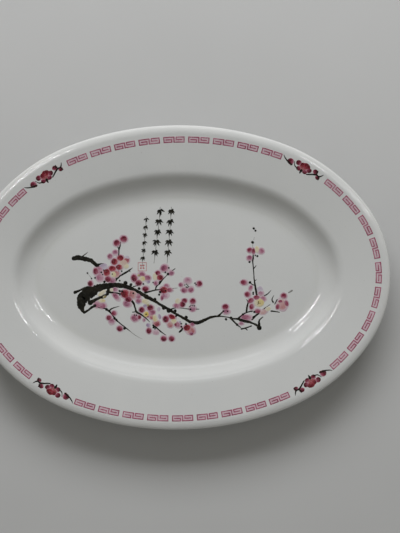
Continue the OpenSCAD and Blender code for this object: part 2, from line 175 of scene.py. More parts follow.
def upper_section(grow, step):
    """From the floor out over the lip, under the rim and down the foot's outer side."""
    up = QUARTER_TURN
    r, x, z, _ = fillet_of(grow)
    inmost = (-JOIN_D, FLOOR_Z + grow)
    points = [inmost] + line(inmost, (-COVE_D, FLOOR_Z + grow), FLOOR_CUTS)
    points += arc(COVE_C, COVE_R - grow, -up, WALL_SLOPE - up, step)
    shoulder = arc(SHOULDER_C, SHOULDER_R + grow, up + WALL_SLOPE, up + RIM_SLOPE, step)
    lip = arc(LIP_C, LIP_R + grow, up + RIM_SLOPE, up - LIP_ROLL, step)
    points += shoulder[1:] + line(shoulder[-1], lip[0], RIM_CUTS) + lip
    points += arc(EDGE_C, WALL / 2 + grow, up - LIP_ROLL, -up - LIP_ROLL, step * EDGE_COARSER)[1:]
    points += arc(LIP_C, LIP_R - WALL - grow, up - LIP_ROLL, up + RIM_SLOPE, step)[1:]
    shoulder = arc(SHOULDER_C, SHOULDER_R - WALL - grow, up + RIM_SLOPE, up + WALL_SLOPE, step)
    points += line(points[-1], shoulder[0], UNDER_CUTS) + shoulder
    points += arc(COVE_C, COVE_R + WALL + grow, WALL_SLOPE - up, -up, step)[1:]
    points += arc((-FOOT_D + x, z), r, up, pi - FOOT_LEAN, step * FILLET_COARSER)
    return points + [(-FOOT_D + foot_side(grow, BARE_H), BARE_H)]


def recess_section(grow, step):
    """From the underside's middle out to the foot and down its inner side."""
    r, x, z, under_z = fillet_of(grow)
    points = [(-RECESS_D, under_z)]
    points += arc((-FOOT_D - x, z), r, QUARTER_TURN, FOOT_LEAN, step * FILLET_COARSER)
    return points + [(-FOOT_D - foot_side(grow, BARE_H), BARE_H)]


# ---- The border: distance along it from the right-hand end, anticlockwise ----
BAND_R = [r - BORDER_D for r in ARC_R]
RUNS = [BAND_R[i] * (ARC_FROM[i + 1] - ARC_FROM[i]) for i in range(3)]
QUARTER = sum(RUNS)
FRET_PITCH = (QUARTER - SPRAY_GAP + FRET_GAP) / FRET_COUNT
FRET_L = FRET_PITCH - FRET_GAP


def turn_in_quarter(s):
    """Direction faced at distance s along the border's first quarter."""
    for i, run in enumerate(RUNS):
        if s <= run or i == 2:
            return ARC_FROM[i] + s / BAND_R[i]
        s -= run


def turn_at(s):
    """Direction faced by the border at distance s along it."""
    q = floor(s / QUARTER)
    t = s - q * QUARTER
    if q % 2 == 0:
        return QUARTER_TURN * q + turn_in_quarter(t)
    return QUARTER_TURN * (q + 1) - turn_in_quarter(QUARTER - t)


# ---- Places to print: each turns local x, y and height into a point in metres ----
ART_TURN = radians(-0.68)
ART_SHIFT = (-0.6, 0.2)


def in_well(x, y, h):
    """A place on the floor of the well, where the branch was laid a little askew."""
    c, s = cos(ART_TURN), sin(ART_TURN)
    return ((x * c - y * s + ART_SHIFT[0]) * MM, (x * s + y * c + ART_SHIFT[1]) * MM,
            (FLOOR_Z + h) * MM)


def on_rim(s):
    """A place on the border, which was laid a little askew: x runs clockwise, y up the slope."""
    c, t = cos(BORDER_TURN), sin(BORDER_TURN)

    def place(x, y, h):
        u, v = oval_point(turn_at(s - x), BORDER_D - y * cos(RIM_SLOPE))
        px, py = u * c - v * t + BORDER_SHIFT[0], u * t + v * c + BORDER_SHIFT[1]
        return px * MM, py * MM, (rim_z(-depth_at(px, py)) + h) * MM
    return place


# ---- Mesh building ----
def facing(degrees):
    """Unit vector in plan."""
    a = radians(degrees)
    return cos(a), sin(a)


def tube(rings, n, start=0):
    """Faces that join rings of n points, the first ring's being from start on."""
    return [[a + i, a + n + i, a + n + (i + 1) % n, a + (i + 1) % n]
            for a in range(start, start + (rings - 1) * n, n) for i in range(n)]


class Film:
    """Closed raised shapes with a colour at each point, gathered into one piece."""

    def __init__(self):
        self.points = []
        self.faces = []
        self.tints = []

    def add(self, points, faces, tints):
        """Adds one closed shape."""
        base = len(self.points)
        self.points += points
        self.tints += tints
        self.faces += [[base + i for i in f] for f in faces]

    def add_ribbon(self, points, tints, n, closed=False):
        """Adds a ribbon made of rows of n points, with its ends capped unless it is closed."""
        rows = len(points) // n
        faces = []
        for i in range(rows if closed else rows - 1):
            a, b = i * n, (i + 1) % rows * n
            faces += [[a + k, a + (k + 1) % n, b + (k + 1) % n, b + k] for k in range(n)]
        if not closed:
            faces.append(list(reversed(range(n))))
            faces.append([(rows - 1) * n + k for k in range(n)])
        self.add(points, faces, tints)


def shown(name, data):
    """A new object in the scene."""
    obj = bpy.data.objects.new(name, data)
    scene.collection.objects.link(obj)
    return obj


def piece_from(name, film, material, slot, *replaced):
    """Makes a mesh object, lets it ride on the body and stand for its CAD nodes."""
    mesh = bpy.data.meshes.new(name)
    mesh.from_pydata(film.points, [], film.faces)
    mesh.validate()
    layer = mesh.color_attributes.new("tint", "FLOAT_COLOR", "POINT")
    for i, tint in enumerate(film.tints):
        layer.data[i].color = (*tint, 1.0)
    mesh.polygons.foreach_set("use_smooth", [True] * len(mesh.polygons))
    mesh.materials.append(material)
    obj = shown(name, mesh)
    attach(obj, ROOT)
    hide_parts(*replaced)


def mix(a, b, t):
    """A point or colour the share t of the way from a to b."""
    t = min(1.0, max(0.0, t))
    return tuple(x + (y - x) * t for x, y in zip(a, b))


ALMOST_ONE = 0.9999


def ramp(stops, t):
    """Colour at t from 0 to 1 along evenly spaced stops."""
    t = min(ALMOST_ONE, max(0.0, t)) * (len(stops) - 1)
    i = int(t)
    return mix(stops[i], stops[i + 1], t - i)


def ease(a, b, x):
    """A smooth step from 0 at a to 1 at b."""
    t = min(1.0, max(0.0, (x - a) / (b - a)))
    return t * t * (3 - 2 * t)


# Every film's underside lies this far below the glaze's surface
SINK = 0.03

# A dab's rings from its middle to its rim, each with its share of the height
DAB_RINGS = ((0.3, 1), (0.55, 0.97), (0.75, 0.9), (0.88, 0.7), (0.96, 0.42), (1, 0.1))
DAB_SIDES = 28
DAB_SEED = (0.37, 0.37, 3.1)
DAB_WOBBLE = 0.09
DAB_WOBBLE_SCALE = 1.3
DAB_GRAIN_SCALE = 0.9
DAB_GRAIN_SEED = 5
# Pigment in a dab: everywhere, more where it pools, and more or less by its grain
DAB_PIGMENT = 0.7
DAB_POOLED = 0.58
DAB_GRAIN = 0.2
# How the rim thins: by how much, from where, and how far the pooled side is spared
DAB_FADE = 0.72
DAB_FADE_START = 0.6
DAB_FADE_SPARED = 0.4
DAB_SPARED_SIDE = (0.2, 0.9)


def dab(film, place, x, y, rx, ry, turn, stops, pool, height, load, fade=DAB_FADE):
    """One brush dab: an uneven disc whose pigment pools towards direction pool and thins at the rim."""
    seed = Vector([v * k for v, k in zip((x, y, rx), DAB_SEED)])
    c, s = facing(turn)
    px, py = facing(pool)

    def put(rho, i, h):
        """The place and colour of corner i at share rho of the radius."""
        a = 2 * pi * i / DAB_SIDES
        spot = Vector((cos(a), sin(a), 0)) * DAB_WOBBLE_SCALE
        wobble = 1 + DAB_WOBBLE * noise(seed + spot)
        u, v = rho * cos(a) * wobble, rho * sin(a) * wobble
        lx, ly = u * rx * c - v * ry * s, u * rx * s + v * ry * c
        side = (lx * px + ly * py) / max(rx, ry)
        grain = noise(Vector((lx, ly, 0)) * DAB_GRAIN_SCALE + seed * DAB_GRAIN_SEED)
        pigment = load * (DAB_PIGMENT + DAB_POOLED * side + DAB_GRAIN * grain)
        spared = 1 - DAB_FADE_SPARED * ease(*DAB_SPARED_SIDE, side)
        pigment *= 1 - fade * ease(DAB_FADE_START, 1.0, rho) * spared
        return place(x + lx, y + ly, h), ramp(stops, pigment)

    rows = [put(0, 0, height)]
    for rho, level in DAB_RINGS:
        rows += [put(rho, i, height * level) for i in range(DAB_SIDES)]
    rows += [put(1.0, i, -SINK) for i in range(DAB_SIDES)]
    n, rings = DAB_SIDES, len(DAB_RINGS) + 1
    faces = [[0, 1 + i, 1 + (i + 1) % n] for i in range(n)] + tube(rings, n, 1)
    faces.append([1 + (rings - 1) * n + i for i in reversed(range(n))])
    film.add([r[0] for r in rows], faces, [r[1] for r in rows])


def lay_dabs(film, place, dabs, height, layer, spread, weight, fade=DAB_FADE, wash=None):
    """Dabs laid one over another, each a layer higher, all in the colour of wash if given."""
    for i, (x, y, rx, ry, stops, pool, load, *turn) in enumerate(dabs):
        dab(film, place, x, y, rx * spread, ry * spread, *turn or [0], wash or stops, pool,
            height + layer * i, load * weight, fade)


def smooth_path(path, step):
    """A curve through points (x, y, half width), sampled about every step."""
    out = []
    last = len(path) - 1
    for i in range(last):
        p0, p1, p2, p3 = path[max(0, i - 1)], path[i], path[i + 1], path[min(last, i + 2)]
        n = max(2, ceil(dist(p1[:2], p2[:2]) / step))
        for k in range(n if i < last - 1 else n + 1):
            t = k / n
            out.append([0.5 * (2 * b + (c - a) * t + (2 * a - 5 * b + 4 * c - d) * t * t
                               + (3 * b - a - 3 * c + d) * t ** 3)
                        for a, b, c, d in zip(p0, p1, p2, p3)])
    return out


def heading(p, q):
    """Unit vector in plan from p towards q."""
    apart = dist(p[:2], q[:2]) or 1.0
    return (q[0] - p[0]) / apart, (q[1] - p[1]) / apart


# The cuts in a stroke's round ends, then its rows from edge to edge, each with its share of the
# height, or -1 for the underside
CAP_TURNS = [radians(turn) for turn in (80, 55, 30)]
STROKE_ROWS = ((-1, -1), (-0.94, 0.35), (-0.7, 0.85), (-0.3, 1), (0.3, 1), (0.7, 0.85), (0.94, 0.35), (1, -1))
STROKE_THINNEST = 0.03
# Scale and seed of the noise that breaks the edges, and of the coarse and fine pigment
EDGE_SCALE = 0.8
LEFT_SEED = 3.7
RIGHT_SEED = 9.1
COARSE_SCALE = 0.35
COARSE_SEED = 1.3
FINE_SCALE = 1.7
FINE_SEED = 5.3
STROKE_PIGMENT = 0.45
STROKE_COARSE = 0.55
STROKE_FINE = 0.25


def cap(end, d, way, turns):
    """Sections that round off a stroke: way is -1 at its start and 1 at its finish."""
    x, y, w = end
    return [(x + way * d[0] * w * sin(a), y + way * d[1] * w * sin(a), w * cos(a), d)
            for a in turns]


def brush(film, place, path, stops, height, step=0.7, rough=0.13):
    """One brush stroke: a tapered ribbon with a slightly broken edge and round ends."""
    core = smooth_path(path, step)
    last = len(core) - 1
    ways = [heading(core[max(0, i - 1)], core[min(last, i + 1)]) for i in range(last + 1)]
    sections = cap(core[0], ways[0], -1, CAP_TURNS)
    sections += [(*p, d) for p, d in zip(core, ways)]
    sections += cap(core[-1], ways[-1], 1, CAP_TURNS[::-1])
    points, tints = [], []
    for x, y, w, d in sections:
        w = max(STROKE_THINNEST, w)
        left = 1 + rough * 2 * noise(Vector((x, y, LEFT_SEED)) * EDGE_SCALE)
        right = 1 + rough * 2 * noise(Vector((x, y, RIGHT_SEED)) * EDGE_SCALE)
        for o, h in STROKE_ROWS:
            r = w * o * (left if o > 0 else right)
            qx, qy = x - d[1] * r, y + d[0] * r
            points.append(place(qx, qy, -SINK if h < 0 else height * h))
            coarse = noise(Vector((qx * COARSE_SCALE, qy * COARSE_SCALE, COARSE_SEED)))
            fine = noise(Vector((qx * FINE_SCALE, qy * FINE_SCALE, FINE_SEED)))
            tints.append(ramp(stops, STROKE_PIGMENT + STROKE_COARSE * coarse + STROKE_FINE * fine))
    film.add_ribbon(points, tints, len(STROKE_ROWS))


LINE_ROWS = ((-1, -1), (-0.9, 0.4), (-0.6, 0.9), (0, 1), (0.6, 0.9), (0.9, 0.4), (1, -1))
LINE_STEP = 1.1
# Pigment in a line: everywhere, by patches, by fine grain, and less towards its edges
LINE_PIGMENT = 0.55
LINE_PATCH = 0.6
LINE_FINE = 0.35
LINE_EDGE = 0.15
PATCH_SCALE = 0.24
LINE_FINE_SCALE = 1.1


def ruled(film, place, path, half, stops, height, closed=False):
    """A line of even width with mitred corners, as a stencil or transfer leaves it."""
    count = len(path)
    spans = count if closed else count - 1
    mitres = []
    for i in range(count):
        before = heading(path[i - 1], path[i]) if closed or i else heading(path[0], path[1])
        after = heading(path[i], path[(i + 1) % count]) if closed or i < count - 1 else before
        ln, rn = (-before[1], before[0]), (-after[1], after[0])
        k = 1 + ln[0] * rn[0] + ln[1] * rn[1]
        mitres.append(((ln[0] + rn[0]) / k, (ln[1] + rn[1]) / k))
    sections = []
    for i in range(spans):
        j = (i + 1) % count
        n = max(1, round(dist(path[i], path[j]) / LINE_STEP))
        for k in range(n if i < spans - 1 or closed else n + 1):
            sections.append(mix(path[i], path[j], k / n) + mix(mitres[i], mitres[j], k / n))
    points, tints = [], []
    for x, y, mx, my in sections:
        for o, h in LINE_ROWS:
            spot = place(x + mx * o * half, y + my * o * half, -SINK if h < 0 else height * h)
            points.append(spot)
            patch = noise(Vector(spot) / MM * PATCH_SCALE)
            fine = noise(Vector(spot) / MM * LINE_FINE_SCALE)
            pigment = LINE_PIGMENT + LINE_PATCH * patch + LINE_FINE * fine - LINE_EDGE * abs(o)
            tints.append(ramp(stops, pigment))
    film.add_ribbon(points, tints, len(LINE_ROWS), closed)


# ---- Materials ----
# Painted colours: the white of the glaze, and each pigment from thin to thick
GLAZE = (0.7, 0.705, 0.69)
RUBY = ((0.63, 0.5, 0.54), (0.42, 0.13, 0.2), (0.23, 0.019, 0.048), (0.08, 0.004, 0.013))
RED = ((0.67, 0.53, 0.53), (0.47, 0.12, 0.15), (0.31, 0.017, 0.032), (0.13, 0.005, 0.011))
PINK = ((0.64, 0.56, 0.585), (0.51, 0.29, 0.36), (0.34, 0.1, 0.165), (0.16, 0.024, 0.058))
PALE = ((0.65, 0.59, 0.61), (0.55, 0.38, 0.44), (0.4, 0.18, 0.26), (0.24, 0.07, 0.12))
PEACH = ((0.66, 0.57, 0.54), (0.58, 0.36, 0.33), (0.45, 0.15, 0.15), (0.24, 0.035, 0.045))
LILAC = ((0.65, 0.615, 0.645), (0.5, 0.42, 0.51), (0.31, 0.23, 0.34))
STRAW = ((0.69, 0.67, 0.6), (0.7, 0.63, 0.46), (0.68, 0.56, 0.26))
GOLD = ((0.7, 0.64, 0.42), (0.7, 0.54, 0.14), (0.52, 0.34, 0.04))
OLIVE = ((0.6, 0.56, 0.42), (0.26, 0.21, 0.08), (0.09, 0.07, 0.02))
INK = ((0.03, 0.026, 0.017), (0.013, 0.012, 0.008), (0.006, 0.006, 0.005))
FAINT = ((0.4, 0.39, 0.37), (0.22, 0.22, 0.2), (0.11, 0.11, 0.1))
CARMINE = ((0.5, 0.2, 0.28), (0.34, 0.055, 0.12), (0.2, 0.02, 0.055))
BLUSH = ((0.685, 0.6, 0.62), (0.67, 0.53, 0.57), (0.63, 0.44, 0.5))
VERMILION = ((0.64, 0.44, 0.44), (0.54, 0.22, 0.22), (0.42, 0.12, 0.13))
CLOUDED_GLAZE = (0.665, 0.675, 0.665)
IRON_SPECK = (0.33, 0.29, 0.23)
BISCUIT = (0.7, 0.66, 0.58)
BURNT_BISCUIT = (0.6, 0.53, 0.43)
GRIT = (0.34, 0.28, 0.21)
FLOOR = (0.62, 0.62, 0.612)
FLOOR_CLOUD = (0.57, 0.57, 0.563)


class Surface:
    """A new material, with short ways to add nodes and feed their sockets."""

    def __init__(self, name):
        self.material = bpy.data.materials.new(name)
        self.material.use_nodes = True
        self.tree = self.material.node_tree

    def feed(self, node, sockets):
        """Feeds sockets by name, each with another node's output, a colour or a number."""
        for key, value in sockets.items():
            if isinstance(value, bpy.types.NodeSocket):
                self.tree.links.new(value, node.inputs[key])
            elif isinstance(value, tuple):
                node.inputs[key].default_value = (*value, 1.0)
            else:
                node.inputs[key].default_value = value

    def add(self, kind, output, sockets, **settings):
        """The named output of a new node."""
        node = self.tree.nodes.new("ShaderNode" + kind)
        for key, value in settings.items():
            setattr(node, key, value)
        self.feed(node, sockets)
        return node.outputs[output]

    def finished(self, **sockets):
        """The material, once its shader's sockets are fed: Coat_Weight stands for Coat Weight."""
        named = {key.replace("_", " "): value for key, value in sockets.items()}
        self.feed(self.tree.nodes["Principled BSDF"], named)
        return self.material

    def paint(self):
        """The colour given to the mesh's points."""
        return self.add("VertexColor", "Color", {}, layer_name="tint")

    def grain(self, scale, detail, rough=0.55):
        """Noise in the object's own metres; scale is features per millimetre."""
        spot = self.add("TexCoord", "Object", {})
        return self.add("TexNoise", "Fac", {
            "Vector": spot, "Scale": scale / MM, "Detail": detail, "Roughness": rough
        })

    def patches(self, low, high, scale, detail, rough=0.55, start=0.3, end=0.7):
        """Noise between start and end, mapped onto the range low to high."""
        return self.add("MapRange", "Result", {
            "Value": self.grain(scale, detail, rough), "From Min": start, "From Max": end,
            "To Min": low, "To Max": high
        })

    def tinted(self, base, factor, colour):
        """Base colour mixed towards another by a factor."""
        sockets = {"Factor": factor, "A": base, "B": colour}
        return self.add("Mix", "Result", sockets, data_type="RGBA")

    def relief(self, depth, scale, detail, **under):
        """Noise as relief of a depth in millimetres, on top of another Normal if given."""
        height = self.grain(scale, detail)
        return self.add("Bump", "Normal", {
            "Strength": 1.0, "Distance": depth * MM, "Height": height, **under
        })


def glaze_material():
    """Clear glaze over white china: cool white, a little deeper where it pooled, faintly rippled."""
    look = Surface("clear_glaze_over_china")
    cloud = look.patches(0, 0.5, scale=0.035, detail=3)
    speck = look.patches(0, 0.35, scale=0.9, detail=2, rough=0.4, start=0.745, end=0.78)
    # The points' colours hold the glaze's white, with the lighter painted light towards the lip
    white = look.tinted(look.paint(), cloud, CLOUDED_GLAZE)
    ripple = look.relief(0.07, scale=0.06, detail=1)
    return look.finished(
        Base_Color=look.tinted(white, speck, IRON_SPECK),
        Roughness=look.patches(0.06, 0.09, scale=0.12, detail=2),
        IOR=1.52,
        Coat_Weight=0.35,
        Coat_Roughness=0.05,
        Normal=look.relief(0.0008, scale=1.3, detail=2, Normal=ripple))


def biscuit_material():
    """The bare ground bottom of the foot: dry, faintly gritty, burnt a little warmer in places."""
    look = Surface("bare_biscuit")
    burnt = look.tinted(BISCUIT, look.patches(0, 0.7, scale=0.25, detail=4), BURNT_BISCUIT)
    grit = look.patches(0, 0.5, scale=3, detail=2, start=0.6, end=0.72)
    return look.finished(
        Base_Color=look.tinted(burnt, grit, GRIT),
        Roughness=look.patches(0.72, 0.92, scale=1.5, detail=3),
        Normal=look.relief(0.03, scale=5, detail=3))


def enamel_material(name, dark, wear, roughness, shine=0.5):
    """Overglaze enamel: its painted colour, with pigment grain and a soft, slightly dry gloss."""
    look = Surface(name)
    grainy = look.tinted(look.paint(), look.patches(0, 0.32, scale=2.2, detail=3), dark)
    worn = look.patches(0, wear, scale=0.8, detail=3, rough=0.7, start=0.52, end=0.75)
    return look.finished(
        Base_Color=look.tinted(grainy, worn, GLAZE),
        Roughness=look.patches(roughness - 0.08, roughness + 0.1, scale=1.6, detail=2),
        Specular_IOR_Level=shine,
        Normal=look.relief(0.012, scale=3.2, detail=3))


# For each enamel: its darkest grains, its wear, its roughness and any odd shine
ENAMEL_LOOKS = {
    "carmine": ((0.26, 0.03, 0.08), 0.22, 0.3),
    "crimson": ((0.1, 0.006, 0.02), 0.12, 0.28, 0.4),
    "pink": ((0.42, 0.15, 0.26), 0.25, 0.28),
    "lilac": ((0.36, 0.27, 0.42), 0.3, 0.28),
    "yellow": ((0.52, 0.42, 0.16), 0.25, 0.28),
    "ink": ((0.004, 0.004, 0.003), 0.05, 0.4, 0.1),
    "vermilion": ((0.36, 0.08, 0.08), 0.35, 0.32)
}
ENAMELS = {name: enamel_material(name + "_enamel", *look) for name, look in ENAMEL_LOOKS.items()}


def print_piece(node, film, colour):
    """A film of enamel that stands for the CAD node it is named after."""
    piece_from(node + "_print", film, ENAMELS[colour], colour + "_enamel", node)


# ---- The dish ----
STATION_STEP = 2.2
SECTION_STEP = radians(6)
INNER_STEP = radians(12)
MIDDLE_RINGS = 7
POOL_TINT = (0.665, 0.67, 0.635)
# Painted light: the lip's white is lighter and a touch warmer than the glaze, standing in for the light its
# thin edge catches
LIP_PAINTED_LIGHT = (0.75, 0.75, 0.73)
# The underside's white: the glaze's white taken two fifths of the way to the lip's painted light
UNDER_TINT = mix(GLAZE, LIP_PAINTED_LIGHT, 0.4)
# The pool's middle, out from the floor's edge, and how far it reaches each way
POOL_OUT = 6
POOL_REACH = 10
# Where the lip's painted light grows, in section x: none at 6 mm in from the edge, all of it at 1 mm in
LIP_LIGHT_FADE = (-6.0, -1.0)
UNDER_RISE = 0.75


def edge_turns():
    """Directions round the oval, about STATION_STEP apart at the edge."""
    quarter = []
    for r, a, b in zip(ARC_R, ARC_FROM, ARC_FROM[1:]):
        n = round(r * (b - a) / STATION_STEP)
        quarter += [a + (b - a) * k / n for k in range(n)]
    half = quarter + [pi - a for a in reversed(quarter[1:] + [QUARTER_TURN])]
    return half + [pi + a for a in half]


def glaze_tint(x, under):
    """White, cooler where the glaze pooled in the cove; painted lighter and a touch warmer towards the lip,
    as painted light on its thin edge; on the underside, the under white.
    """
    if under:
        return UNDER_TINT
    pool = 1 - min(1.0, abs(x + COVE_D - POOL_OUT) / POOL_REACH)
    return mix(mix(GLAZE, POOL_TINT, pool), LIP_PAINTED_LIGHT, ease(*LIP_LIGHT_FADE, x))


def shell(section, turns):
    """A closed shell swept round the oval from a section that starts and ends in the middle."""
    count = len(turns)
    edge = [oval_point(a, JOIN_D) for a in turns]

    def middle(z):
        """Rings growing from the centre to the inmost section point at height z."""
        shares = [k / MIDDLE_RINGS for k in range(1, MIDDLE_RINGS)]
        return [[(x * f, y * f, z) for x, y in edge] for f in shares]

    rings = middle(section[0][1])
    rings += [[(*oval_point(a, -x), z) for a in turns] for x, z in section]
    rings += reversed(middle(section[-1][1]))
    points = [(x * MM, y * MM, z * MM) for ring in rings for x, y, z in ring]
    faces = tube(len(rings), count)
    for ring, z in ((0, section[0][1]), (len(rings) - 1, section[-1][1])):
        points.append((0.0, 0.0, z * MM))
        centre, a = len(points) - 1, ring * count
        fan = [[centre, a + i, a + (i + 1) % count] for i in range(count)]
        faces += [f[::-1] for f in fan] if ring else fan
    return points, faces


def under_line(x):
    """A height between the top and bottom faces at depth x of the section."""
    middle = FLOOR_Z - WALL / 2
    if x < -COVE_D:
        return middle
    return min(middle + (x + COVE_D) * UNDER_RISE, EDGE_C[1] - WALL)


def glazed_shell():
    """The glaze: one coat over the well, rim and outside, one inside the foot ring."""
    turns = edge_turns()
    coat = Film()
    for section_of in (upper_section, recess_section):
        inside = section_of(-GLAZE_T, INNER_STEP)
        points, faces = shell(section_of(0, SECTION_STEP) + inside[::-1], turns)
        recess = section_of is recess_section
        if recess:
            faces = [f[::-1] for f in faces]
        tints = []
        # Each point's white, painted lighter towards the lip as painted light
        for x, y, z in points:
            depth = depth_at(x / MM, y / MM)
            tints.append(glaze_tint(depth, recess or z / MM < under_line(depth)))
        coat.add(points, faces, tints)
    piece_from("glazed_shell", coat, glaze_material(), "clear_glaze", "glaze_coat")


# ---- Border and sprays ----
# The mark's line, as shares of its length and height
FRET_PATH = [
    (0.09, 0.5), (0.385, 0.5), (0.385, 0), (0, 0), (0, 1), (0.5, 1),
    (0.5, 0), (1, 0), (1, 1), (0.615, 1), (0.615, 0.5), (0.91, 0.5)
]
FRET_THICK = 0.06
WASH_THICK = 0.025
SIDES = ("right", "back", "left", "front")
CORNERS = ("back_right", "back_left", "front_left", "front_right")


def fret_run(side):
    """One side's fret marks, each over a pale wash of its own."""
    film = Film()
    length, height = FRET_L - FRET_LINE, FRET_H - FRET_LINE
    mark = [((x - 0.5) * length, (y - 0.5) * height) for x, y in FRET_PATH]
    wash = [(-FRET_L / 2, 0), (FRET_L / 2, 0)]
    for i in range(FRET_COUNT):
        place = on_rim(QUARTER * side + (i - (FRET_COUNT - 1) / 2) * FRET_PITCH)
        ruled(film, place, mark, FRET_LINE / 2, CARMINE, FRET_THICK)
        ruled(film, place, wash, FRET_H / 2, BLUSH, WASH_THICK)
    print_piece("fret_" + SIDES[side], film, "carmine")


# Dabs: x, y, radii, colour, where the pigment pools, load, and turn where there is one
SPRAY_DABS = [
    (-0.8, -0.8, 2.6, 2.2, PEACH, 90, 0.95), (-5.1, 1, 1.8, 1.6, RUBY, 170, 0.85, 20),
    (-3.4, -2.6, 1.6, 1.5, RUBY, 240, 0.8), (1.7, -2.9, 1.6, 1.4, RUBY, 280, 0.8),
    (3.8, -0.6, 1.7, 1.6, RUBY, 0, 0.9), (-1.5, 0.8, 1.8, 1.6, RED, 150, 0.85),
    (0.8, 1.1, 2.4, 1.9, RED, 60, 0.95), (11.8, -1.5, 1.5, 1.4, RUBY, 300, 1),
    (8.4, 1.1, 1.7, 1.5, RUBY, 60, 1), (-10.8, -0.6, 2.1, 1.9, RUBY, 200, 0.95, 10),
    (-9.8, -2.4, 1, 0.7, RED, 270, 1.1)
]
SPRAY_TWIGS = [
    [(14.3, 2.6, 0.1), (13.4, 0.9, 0.35), (12, -0.5, 0.5), (10.2, -0.2, 0.55), (7.9, -1.3, 0.45),
     (5.8, -2.6, 0.45), (3.8, -3.8, 0.3)], [(10.2, -0.2, 0.4), (9.4, 1.6, 0.4), (9.8, 2.8, 0.12)],
    [(12, -0.5, 0.4), (12.9, -1.8, 0.35), (13.2, -2.8, 0.1)], [(-1, -3.2, 0.9), (-1.1, -5.2, 0.35)],
    [(-4.4, -3, 0.35), (-6.7, -2.2, 0.3), (-7.8, -0.5, 0.2), (-8.2, 0.7, 0.15)],
    [(-9.5, -2.4, 0.6), (-12.9, -1.3, 0.45), (-15, -0.1, 0.35), (-16.3, 1, 0.25), (-17, 1.9, 0.12)]
]
SPRAY_STAMENS = [(-0.6, -0.2), (0.3, -0.9), (-1.4, -0.9), (-0.2, -1.6), (-1.9, -0.1)]
STAMEN_R = 0.26
STAMEN_LOAD = 1.3
# How far a dab's wet colour spread past the brush
PETAL_SPREAD = 1.17
TWIG_WEIGHT = 1.25
SPRAY_LOAD = 1.35
SPRAY_FADE = 0.45
# Heights above the glaze: the first dab, what each later one adds, stamens and twigs
SPRAY_HEIGHT = 0.06
SPRAY_LAYER = 0.004
STAMEN_HEIGHT = 0.115
SPRAY_TWIG_HEIGHT = 0.13


def heavier(path, weight):
    """The same stroke made with a heavier hand."""
    return [(x, y, half * weight) for x, y, half in path]


def rim_spray(corner):
    """The small blossom spray that fills one corner of the border."""
    place = on_rim(QUARTER * (corner + 0.5))
    petals, twigs = Film(), Film()
    lay_dabs(petals, place, SPRAY_DABS, SPRAY_HEIGHT, SPRAY_LAYER, PETAL_SPREAD, SPRAY_LOAD, SPRAY_FADE)
    for x, y in SPRAY_STAMENS:
        dab(petals, place, x, y, STAMEN_R, STAMEN_R, 0, RED, 0, STAMEN_HEIGHT, STAMEN_LOAD, 0)
    for path in SPRAY_TWIGS:
        brush(twigs, place, heavier(path, TWIG_WEIGHT), INK, SPRAY_TWIG_HEIGHT)
    print_piece("rim_blossom_" + CORNERS[corner], petals, "crimson")
    print_piece("rim_twig_" + CORNERS[corner], twigs, "ink")


# ---- The branch: strokes as points of x, y and half width ----
TRUNK = [
    [(-66.8, -26, 0.6), (-68.6, -22, 2.4), (-68.5, -17.4, 4), (-65.4, -12.9, 4.4), (-60.4, -10, 3.7),
     (-56.2, -7.9, 2.9), (-52.4, -6.8, 2.4), (-47.3, -5.9, 1.95), (-41.3, -6, 1.85), (-36.8, -6.8, 1.8),
     (-32.6, -8.4, 1.5), (-27.7, -10.8, 1.35), (-22, -14.1, 1.5), (-15.8, -17.4, 1.05), (-10.5, -20.7, 1),
     (-5.2, -23.7, 1.05), (-0.2, -26.8, 0.95), (5.1, -29.7, 1), (10.4, -32.5, 1.25), (15.3, -33, 1.4),
     (20.3, -31, 1.15), (25.2, -29, 0.95), (30.3, -28.3, 0.6), (37, -29, 0.35), (40.6, -30, 0.55),
     (44.2, -30.4, 0.8), (47.3, -31.3, 1.2), (50.9, -32.1, 1.1), (55, -33.4, 0.7), (58.1, -34.9, 0.9),
     (59.7, -36.3, 1.5)],
    [(-62.4, -18.6, 1.8), (-59.4, -16.9, 1.3), (-56.2, -15.3, 1.1), (-52.6, -14, 1.3), (-50, -12, 0.8),
     (-49.1, -9, 1.1), (-48.2, -6.6, 1.3)], [(-68.6, -10.8, 0.3), (-68.4, -13.4, 1.2), (-66.5, -15.6, 1.8)]
]
